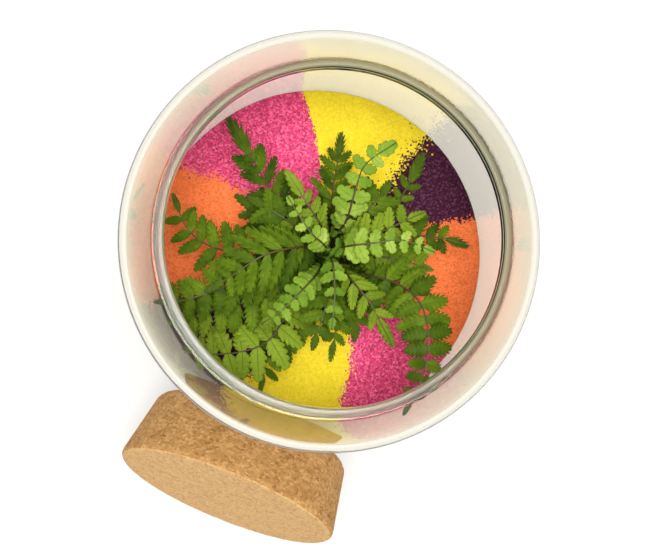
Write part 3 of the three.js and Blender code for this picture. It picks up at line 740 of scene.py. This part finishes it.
# ring and place set a stem in the crown, forward is the angle between a leaflet and the rib,
# width is a leaflet's length, bare is the share of the rib that is stem, tip the share of the
# blade that its last leaflet takes, and tone goes from the old fronds in the shade to the fresh
# ones.
FROND_KEYS = ("name", "ring", "place", "leaf", "forward", "pairs", "width", "bare", "tip", "tone",
              "route")
FRONDS = [dict(zip(FROND_KEYS, row)) for row in (
    # low fronds, from the crown's outer ring
    ("right_low", 11.5, 24, CUT, 52, 4, 10, 0.55, 0.36, 0.25,
     ((19, 3, 139), (27, 4, 144), (38, 4, 143), (52, 1.5, 137))),
    ("upper_right", 11.5, 52, LONG, 40, 3, 7, 0.55, 0.46, 0.4,
     ((16, 9, 138), (22, 11, 142), (29, 21, 139), (37, 35, 132))),
    ("top", 11.5, 98, CUT, 46, 7, 12, 0.42, 0.3, 0.3,
     ((3, 12, 139), (3, 19.5, 144), (5, 29.5, 141), (7.5, 41.5, 135))),
    ("upper_left_low", 11.5, 150, LOBED, 52, 6, 14, 0.38, 0.25, 0.2,
     ((-10.5, 6, 138), (-20.5, 12, 142), (-29.5, 18, 140))),
    ("left", 11.5, 182, LONG, 60, 6, 13, 0.5, 0.18, 0.45,
     ((-15, -1, 139), (-25, -1, 146), (-36.5, 0, 143), (-45.5, 6.5, 139), (-51, 19.5, 134))),
    ("lower_left_low", 11.5, 232, LOBED, 84, 8, 14, 0.42, 0.1, 0.95,
     ((-9, -16, 136), (-18.5, -31, 140), (-27, -34.5, 141), (-38.5, -35.5, 137), (-49, -34.5, 133))),
    ("bottom_low", 11.5, 262, LONG, 66, 6, 10, 0.5, 0.22, 0.4,
     ((-1, -20, 131), (-11, -29, 134), (-17.5, -35.5, 133.5), (-20, -43, 131), (-20.5, -50, 129))),
    ("bottom_right_low", 11.5, 292, LOBED, 55, 5, 11, 0.4, 0.25, 0.3,
     ((8, -16, 138), (11, -22, 141), (11, -32, 137))),
    ("right_lower", 11.5, 342, LOBED, 56, 6, 8.5, 0.42, 0.2, 0.45,
     ((18, -6, 138), (27, -10.5, 141), (38, -16, 138))),
    # middle fronds
    ("top_right", 7.5, 50, LOBED, 55, 5, 13, 0.52, 0.25, 0.3,
     ((9.5, 8, 147), (15.5, 13.5, 151), (22.5, 22.5, 148))),
    ("top_left", 7.5, 128, CUT, 44, 7, 14, 0.42, 0.34, 0.22,
     ((-7, 7.5, 145), (-14, 13, 151), (-21.5, 24.5, 150), (-31.5, 44.5, 141))),
    ("lower_left", 7.5, 208, BROAD, 62, 9, 13.5, 0.4, 0.1, 0.4,
     ((-9.5, -5, 145), (-21, -8.5, 149.5), (-33.5, -13.5, 151), (-46, -17.5, 151),
      (-56.5, -18.5, 150))),
    ("lower_left_mid", 7.5, 236, BROAD, 72, 8, 13, 0.4, 0.14, 0.6,
     ((-9, -12.5, 141), (-21, -17, 144.5), (-34.5, -20, 143.5), (-53, -25.5, 140))),
    ("bottom_right", 7.5, 322, TAPERED, 86, 10, 13, 0.46, 0.1, 0.4,
     ((15, -9.5, 150), (24, -13, 156), (29.5, -19, 160), (31.5, -28, 162), (30.5, -38, 163.5),
      (23, -54, 165))),
    ("bottom", 7.5, 278, CUT, 52, 7, 12, 0.4, 0.2, 0.3,
     ((3, -13, 148), (4, -21.5, 151), (3, -30, 149), (2, -37.5, 144))),
    ("top_round", 7.5, 90, ROUND, 66, 6, 8.5, 0.5, 0.2, 0.5,
     ((6.5, 8, 152), (9, 17.5, 158), (12, 25.5, 157), (23.5, 34.5, 152))),
    ("right_mid", 7.5, 2, LOBED, 58, 5, 11, 0.56, 0.18, 0.6,
     ((14, -2.3, 147), (24.5, -4.5, 151), (37, -7.5, 147))),
    # high fronds
    ("bottom_mid", 4, 282, LOBED, 55, 5, 10, 0.57, 0.2, 0.35,
     ((1, -14.5, 155), (-2, -24, 158), (-5, -34, 154))),
    ("left_high", 4, 182, CUT, 56, 7, 16, 0.54, 0.2, 0.35,
     ((-9, -1, 161), (-20.5, -4, 166), (-30, -10, 164), (-39, -15, 158))),
    ("upper_left", 4, 146, LOBED, 54, 6, 12, 0.5, 0.2, 0.3,
     ((-8.5, 5, 154.5), (-15, 9, 159), (-25.5, 16, 155))),
    ("right_small", 4, 318, LONG, 50, 4, 9, 0.55, 0.34, 0.75,
     ((8, -12, 159), (13, -18.5, 161), (16, -23.5, 159), (21.5, -33, 153.5))),
    ("top_small", 4, 104, LOBED, 50, 5, 7, 0.58, 0.3, 0.8,
     ((-3, 7, 161), (-8.5, 14.5, 165), (-12, 22.5, 162))),
    ("right_upper", 4, 18, LOBED, 56, 6, 10, 0.52, 0.2, 0.85,
     ((9, 1, 157), (18, 4.5, 161), (32, 11, 157))),
    ("lower_left_high", 4, 236, ROUND, 64, 7, 7, 0.6, 0.12, 0.3,
     ((-5, -11, 161), (-10.5, -16.5, 167), (-15.5, -21.5, 166), (-21, -25, 161))),
    # young bright fronds in the middle
    ("young_top", 1.6, 120, ROUND, 64, 5, 6, 0.62, 0.12, 0.55,
     ((-2, 0, 163), (-6, 2.5, 169.5), (-10, 8, 171.5), (-13.5, 14, 170))),
    ("young_right", 1.6, 0, ROUND, 66, 8, 8, 0.5, 0.1, 0.5,
     ((6, -1, 166), (12.5, -0.5, 170), (22, 0.5, 170), (33, -3, 166))),
    ("young_bottom", 1.6, 240, ROUND, 62, 4, 6, 0.66, 0.14, 0.2,
     ((1, -7, 165), (1, -16, 170.5), (0, -27, 170))),
)]
BRIGHT_FRONDS = ("young_top", "young_right", "young_bottom", "lower_left_high", "top_round")

LEAF = {
    "gap": 0.8,  # between a leaflet and the glass
    "rise": 0.7,  # how much it turns up where it meets the glass
    "facing": 0.45,  # how far it follows its rib's slope, from 0 for level to 1
    "room": 0.7,  # the most half width it may take, as a share of the spacing
    "end_room": 0.1,  # spare past the last pair, as the same share
    "root": 0.5,  # width of its root, as a share of its full width
    "root_length": 0.2,  # where the root ends, as a share of its length
    "fullness": 2.8,  # how far out it stays wide
    "narrowing": 0.68,  # how fast it then narrows
    "last_row": (0.99, 0.05, 0.0, 0.0),
    "across": (-1.0, -0.62, -0.28, 0.0, 0.28, 0.62, 1.0),  # places of its points across it
    "crest": 0.10,  # height of its teeth over the cuts, as a share of the half width
    "groove": 0.05,  # depth of its midrib, as the same share
    "droop": (0.05, 0.21),  # how far its tip bends down, as a share of its length
    "fold": (-0.10, 0.24),  # how far its two halves fold down
    "sway": (-0.05, 0.05),  # how far its tip bends aside
    "size": (0.92, 1.08),  # spread of the pairs' sizes
    "reach": (0.90, 1.06),  # and of the leaflets' lengths
    "hang": (6, 16),  # degrees that it hangs
    "pitch": (-8, 8),  # degrees that it turns about its own length
    "turn": (-11, 11),  # degrees off its frond's angle
    "tone": (-0.21, 0.21),  # off its frond's tone
    "tip_length": 1.05,  # of the last one, as a share of the rib left for it
    "start": 0.75,  # length where the blade begins, as a share of the longest
    "shortest": 0.5,  # and of the shortest ones, down the stem
}
LEAF_LIMIT = INNER_RADIUS - LEAF["gap"]
# painted shade: the pairs down the stem, below the blade, are drawn darker as if in shade
INNER = {"pairs": 9, "shade": 0.16}  # pairs that go on down the stem, and how much darker
DEEP = {
    "level": 0.14,  # a stem less level than this has small leaves all round it
    "turn": 137.5,  # degrees from one of them to the next
    "size": 0.62,
    # painted shade: how much darker the leaves deep in the crown are drawn
    "shade": 0.45,
}
FIRST_SEED = 11
FINE_SEED = 1000  # added for a second row of draws


class Rib:
    """A frond's rib: a smooth curve through its points, measured by the share of its length."""

    STEPS = 40
    NEAR = 1e-3  # half the share over which its direction is taken

    def __init__(self, points):
        points = [Vector(p) for p in points]
        ends = [2 * points[0] - points[1], *points, 2 * points[-1] - points[-2]]
        line = []
        for i in range(len(points) - 1):
            line += self.span(*ends[i:i + 4], last=i + 2 == len(points))
        self.line = np.array(line)
        lengths = np.linalg.norm(np.diff(self.line, axis=0), axis=1)
        self.measure = np.concatenate([[0], np.cumsum(lengths)])
        self.length = self.measure[-1]

    def span(self, p0, p1, p2, p3, last):
        """Points of one centripetal Catmull-Rom span."""
        d0, d1, d2 = ((b - a).length ** 0.5 for a, b in ((p0, p1), (p1, p2), (p2, p3)))
        t1 = ((p1 - p0) / d0 - (p2 - p0) / (d0 + d1) + (p2 - p1) / d1) * d1
        t2 = ((p2 - p1) / d1 - (p3 - p1) / (d1 + d2) + (p3 - p2) / d2) * d1
        third = 2 * p1 - 2 * p2 + t1 + t2
        second = -3 * p1 + 3 * p2 - 2 * t1 - t2
        found = []
        for k in range(self.STEPS + (1 if last else 0)):
            t = k / self.STEPS
            found.append(tuple(p1 + t1 * t + second * t * t + third * t * t * t))
        return found

    def at(self, share):
        want = share * self.length
        return Vector([np.interp(want, self.measure, self.line[:, k]) for k in range(3)])

    def frame(self, share):
        """The point at a share of the length, with its along, left and up directions."""
        before, beyond = max(0, share - self.NEAR), min(1, share + self.NEAR)
        along = (self.at(beyond) - self.at(before)).normalized()
        outward = self.at(1) - self.at(0)
        outward.z = 0
        outward.normalize()
        level = Vector((along.x, along.y, 0))
        heading = outward.lerp(level.normalized(), min(1, level.length_squared)).normalized()
        left = Vector((-heading.y, heading.x, 0))
        up = along.cross(left).normalized()
        return self.at(share), along, left, up


def leaflet_share(share, taper):
    """How long the leaflets are along the blade, as a share of the frond's width."""
    inner = max(LEAF["shortest"], min(1.0, LEAF["start"] + share))
    return inner * min(1.0, 1 - share) ** taper


def leaflet_rows(leaf):
    """(distance along, half width, lean, crest) for each row of a leaflet, as shares."""
    rows = []
    count = leaf["teeth"]
    for k in range(count):
        for phase, cut in leaf["profile"]:
            share = (k + phase) / count
            root = lerp(LEAF["root"], 1.0, smooth_step(0.0, LEAF["root_length"], share))
            outline = (1 - share ** LEAF["fullness"]) ** LEAF["narrowing"]
            wide = root * outline * (1 - leaf["depth"] * cut)
            lean = leaf["lean"] * (1 - cut) / count
            rows.append((share, wide, lean, 1 - cut))
    rows.append(LEAF["last_row"])
    return rows


def held_in(point, limit):
    """A point that would be past the glass comes back to it, and up along it."""
    reach = math.hypot(point.x, point.y)
    if reach <= limit:
        return point
    share = limit / reach
    return Vector((point.x * share, point.y * share, point.z + LEAF["rise"] * (reach - limit)))


def add_leaflet(shape, leaf, root, axes, length, half, draw, tone):
    """A thin closed leaflet. axes are the directions of its tip, of its front edge and up."""
    axis, front, up = axes
    droop = within(LEAF["droop"], draw)
    fold = within(LEAF["fold"], draw)
    sway = within(LEAF["sway"], draw)
    rows = leaflet_rows(leaf)
    top, below, marks = [], [], []
    for share, wide, lean, crest in rows:
        for s in LEAF["across"]:
            reach = min(1.0, share + lean * s ** 2)
            aside = s * wide * half
            rise = -droop * length * share ** 2 - fold * abs(aside) * abs(s)
            rise += LEAF["crest"] * half * (crest - 0.5) * abs(s)
            if s == 0.0:
                rise -= LEAF["groove"] * half
            along = axis * (reach * length) + front * (aside + sway * length * share ** 2)
            point = root + along + up * rise
            top.append(tuple(held_in(point, LEAF_LIMIT)))
            below.append(tuple(held_in(point - up * LEAF_THICKNESS, LEAF_LIMIT - LEAF_THICKNESS)))
            marks.append((share * leaf["teeth"], s, tone))
    columns = len(LEAF["across"])
    first = shape.add_points(top, marks)
    second = shape.add_points(below, marks)
    shape.add_grid(first, len(rows), columns)
    shape.add_grid(second, len(rows), columns, flip=True)
    last = columns * (len(rows) - 1)
    rim = [*range(0, columns), *range(2 * columns - 1, last + columns, columns),
           *range(last + columns - 2, last - 1, -1), *range(last - columns, 0, -columns)]
    for a, b in zip(rim, rim[1:] + rim[:1]):
        shape.add_face((first + b, first + a, second + a, second + b))


def add_stem(shape, rib, bare):
    """The stem and rib as one tapering tube, flatter above than below."""
    sides, steps = STEM["sides"], STEM["steps"]
    points, marks = [], []
    for i in range(steps):
        share = i / (steps - 1)
        origin, _, left, up = rib.frame(share)
        out = max(0.0, (share - bare) / (1 - bare))
        thinned = 1 - STEM["thinning"] * min(1.0, share / bare)
        radius = STEM["width"] / 2 * thinned * (1 - STEM["taper"] * out)
        for k in range(sides):
            angle = 2 * math.pi * k / sides
            flat = STEM["flat"] if math.sin(angle) > 0 else 1.0
            offset = left * (radius * math.cos(angle)) + up * (radius * flat * math.sin(angle))
            points.append(tuple(origin + offset))
            marks.append((share, 0.0, 0.0))
    first = shape.add_points(points, marks)
    last = first + sides * (steps - 1)
    shape.add_grid(first, steps, sides, slot=1, closed=True, flip=True)
    shape.add_face(range(first, first + sides), 1)
    shape.add_face(range(last + sides - 1, last - 1, -1), 1)


def frond_points(frond):
    """The stem's upright points in the soil and above it, then the frond's own route."""
    angle = math.radians(frond["place"])
    x = CROWN[0] + frond["ring"] * math.cos(angle)
    y = CROWN[1] + frond["ring"] * math.sin(angle)
    heights = (-STEM["depth"], -STEM["depth"] / 2, 0, STEM["rise"])
    return [(x, y, SOIL_TOP + h) for h in heights] + list(frond["route"])


def pair_sizes(frond, spacing, draw):
    """Each pair's place, as a share of the blade, and its size. The first ones stand on the
    stem, below the blade."""
    pairs = []
    for i in range(-INNER["pairs"], frond["pairs"]):
        at = (i + 0.5) * spacing
        size = leaflet_share(at, frond["leaf"]["taper"]) * frond["width"]
        pairs.append((at, size * within(LEAF["size"], draw)))
    return pairs


def side_axes(along, left, side, turn, hang, pitch):
    """The axes of a side leaflet: side is +1 on the left of the rib and -1 on the right."""
    slope = along.cross(left)
    across = (left * (side * math.cos(hang)) - slope * math.sin(hang)) * math.sin(turn)
    axis = (along * math.cos(turn) + across).normalized()
    front = (along - axis * along.dot(axis)).normalized()
    front = Matrix.Rotation(side * pitch, 3, axis) @ front
    return axis, front * -side, axis.cross(front) * -side


def add_pair(shape, frond, origin, directions, size, room, tone, draw, fine):
    """Two leaflets, one on each side of the rib."""
    along, left = directions
    leaf = frond["leaf"]
    half = min(room, leaf["slim"] * size)
    for side in (1, -1):
        hang = math.radians(within(LEAF["hang"], draw))
        pitch = math.radians(within(LEAF["pitch"], draw))
        turn = math.radians(frond["forward"]) + math.radians(within(LEAF["turn"], fine))
        axes = side_axes(along, left, side, turn, hang, pitch)
        reach = leaf["length"] * size * within(LEAF["reach"], fine)
        own_tone = tone + within(LEAF["tone"], fine)
        add_leaflet(shape, leaf, origin, axes, reach, half, fine, own_tone)


def add_frond(frond, seed, materials):
    """A stem with its rib, the leaflets in pairs along it, and one more at its tip."""
    draw, fine = Draw(seed), Draw(FINE_SEED + seed)
    leaf, bare, tip = frond["leaf"], frond["bare"], frond["tip"]
    rib = Rib(frond_points(frond))
    blade = (1 - bare) * rib.length
    shape = Shape()
    add_stem(shape, rib, bare)
    spacing = (1 - tip) / (frond["pairs"] + LEAF["end_room"])
    room = LEAF["room"] * spacing * blade * math.sin(math.radians(frond["forward"]))
    for i, (at, size) in enumerate(pair_sizes(frond, spacing, draw)):
        origin, along, left, _ = rib.frame(bare + (1 - bare) * at)
        if origin.z < SOIL_TOP + STEM["rise"]:
            continue
        # painted shade: pairs down the stem and leaves deep in the crown are drawn darker
        painted_shade = INNER["shade"] if at < 0 else 0.0
        if math.hypot(along.x, along.y) < DEEP["level"]:
            painted_shade = DEEP["shade"]
            size *= DEEP["size"]
            left = Matrix.Rotation(math.radians(DEEP["turn"] * i), 3, "Z") @ left
        along = Vector((left.y, -left.x, 0)).lerp(along, LEAF["facing"]).normalized()
        tone = frond["tone"] - painted_shade
        add_pair(shape, frond, origin, (along, left), size, room, tone, draw, fine)
    origin, *axes = rib.frame(1 - tip * (1 - bare))
    length = LEAF["tip_length"] * tip * blade
    add_leaflet(shape, leaf, origin, axes, length, leaf["tip_slim"] * length, fine, frond["tone"])
    slot = "young_foliage" if frond["name"] in BRIGHT_FRONDS else "foliage"
    shape.make("fern_" + frond["name"], [materials[slot], materials["stem"]],
               ["frond_" + frond["name"]], slot)


def add_fern():
    materials = {
        "foliage": leaf_material("leaf"),
        "young_foliage": leaf_material("young_leaf"),
        "stem": stem_material(),
    }
    for i, frond in enumerate(FRONDS):
        add_frond(frond, FIRST_SEED + i, materials)


# ---- cork stopper

CORK_SEGMENTS = 220
CORK_RINGS = {"under": 20, "side": 20, "over": 40}
CORK_MIDDLE = 2.0  # from a face's rings to its middle, and to its rounded edge
PITS = {"depth": 0.55, "broad": 0.9, "broad_scale": 0.55, "fine": 0.35, "fine_scale": 1.6}


def cork_profile():
    small, large, thickness, edge = (CORK[k] for k in ("small", "large", "thickness", "edge"))
    lower = arc(small - edge, edge, edge, -90, CORK["side_from"], 6)
    upper = arc(large - edge, thickness - edge, edge, CORK["side_from"], 90, 6)
    side = [(lerp(lower[-1][0], upper[0][0], s), lerp(lower[-1][1], upper[0][1], s))
            for s in np.linspace(0, 1, CORK_RINGS["side"] + 2)[1:-1]]
    under_rim, over_rim = small - edge - CORK_MIDDLE, large - edge - CORK_MIDDLE
    under = [(r, 0.0) for r in np.linspace(CORK_MIDDLE, under_rim, CORK_RINGS["under"])]
    over = [(r, thickness) for r in np.linspace(over_rim, CORK_MIDDLE, CORK_RINGS["over"])]
    return [(0.0, 0.0), *under, *lower, *side, *upper, *over, (0.0, thickness)]


def pit_depth(place):
    """How deep the cork is pitted at a place: broad pits and a fine roughness."""
    broad = max(0.0, noise.noise(place * PITS["broad_scale"]))
    fine = abs(noise.noise(place * PITS["fine_scale"]))
    return (broad * PITS["broad"] + PITS["fine"] * fine) * PITS["depth"]


def add_cork():
    """The stopper lies on its rim and leans back until its smaller rim meets the jar."""
    shape = turned(cork_profile(), CORK_SEGMENTS)
    shape.marks = [(x * MM, y * MM, z * MM) for x, y, z in shape.points]
    lean, azimuth = math.radians(CORK["lean"]), math.radians(CORK["azimuth"])
    turn = Matrix.Rotation(azimuth, 3, "Z") @ Matrix.Rotation(math.pi / 2 - lean, 3, "Y")
    middle = Vector((0, 0, CORK["thickness"] / 2))
    placed = []
    for point in shape.points:
        place = Vector(point)
        inward = (middle - place).normalized()
        placed.append(turn @ (place + inward * pit_depth(place)))
    lowest = min(p.z for p in placed)
    rim = (CORK["small"] - CORK["edge"]) * math.sin(lean) + CORK["edge"] * (1 - math.cos(lean))
    distance = math.sqrt(BODY_RADIUS ** 2 - CORK["sideways"] ** 2) + CORK["gap"] + rim
    outward = Vector((math.cos(azimuth), math.sin(azimuth), 0))
    across = Vector((-outward.y, outward.x, 0)) * CORK["sideways"]
    shift = outward * distance + across - Vector((0, 0, lowest))
    shape.points = [tuple(p + shift) for p in placed]
    shape.make("cork_disc", [cork_material()], ["cork_stopper"], "cork")


# ---- floor, light and world

ROOM_LIGHT = (0.78, 0.75, 0.66)
# The lamp's values are degrees, metres and watts.
KEY_LIGHT = {"azimuth": -125, "elevation": 86, "distance": 1.1, "size": 0.5, "power": 12.5}
LIGHT_TARGET = (0, 0, 0.1)
FLOOR_REACH = 2000.0
FLOOR_DROP = 0.2  # below the jar's foot


def add_floor():
    reach, drop = FLOOR_REACH * MM, FLOOR_DROP * MM
    corners = [(x * reach, y * reach, -drop) for x, y in ((-1, -1), (1, -1), (1, 1), (-1, 1))]
    mesh = bpy.data.meshes.new("floor")
    mesh.from_pydata(corners, [], [(0, 1, 2, 3)])
    mesh.materials.append(floor_material())
    floor = bpy.data.objects.new("floor", mesh)
    bpy.context.scene.collection.objects.link(floor)


def add_light(name, azimuth, elevation, distance, size, power):
    data = bpy.data.lights.new(name, "AREA")
    data.shape = "DISK"
    data.size = size
    data.energy = power
    lamp = bpy.data.objects.new(name, data)
    turn, rise = math.radians(azimuth), math.radians(elevation)
    towards = Vector((math.cos(turn) * math.cos(rise), math.sin(turn) * math.cos(rise), math.sin(rise)))
    lamp.location = Vector(LIGHT_TARGET) + towards * distance
    lamp.rotation_euler = towards.to_track_quat("Z", "Y").to_euler()
    bpy.context.scene.collection.objects.link(lamp)


def add_world():
    world = bpy.data.worlds.new("studio")
    world.use_nodes = True
    background = world.node_tree.nodes["Background"]
    background.inputs["Color"].default_value = (*ROOM_LIGHT, 1)
    background.inputs["Strength"].default_value = 1.0
    bpy.context.scene.world = world


def main():
    scene = bpy.context.scene
    scene.view_settings.view_transform = "Standard"
    scene.view_settings.look = "None"
    add_camera()
    add_jar()
    for index in range(len(SAND_WEDGES)):
        sand_wedge(index)
    add_soil()
    add_fern()
    add_cork()
    add_floor()
    add_world()
    add_light("key", **KEY_LIGHT)


main()
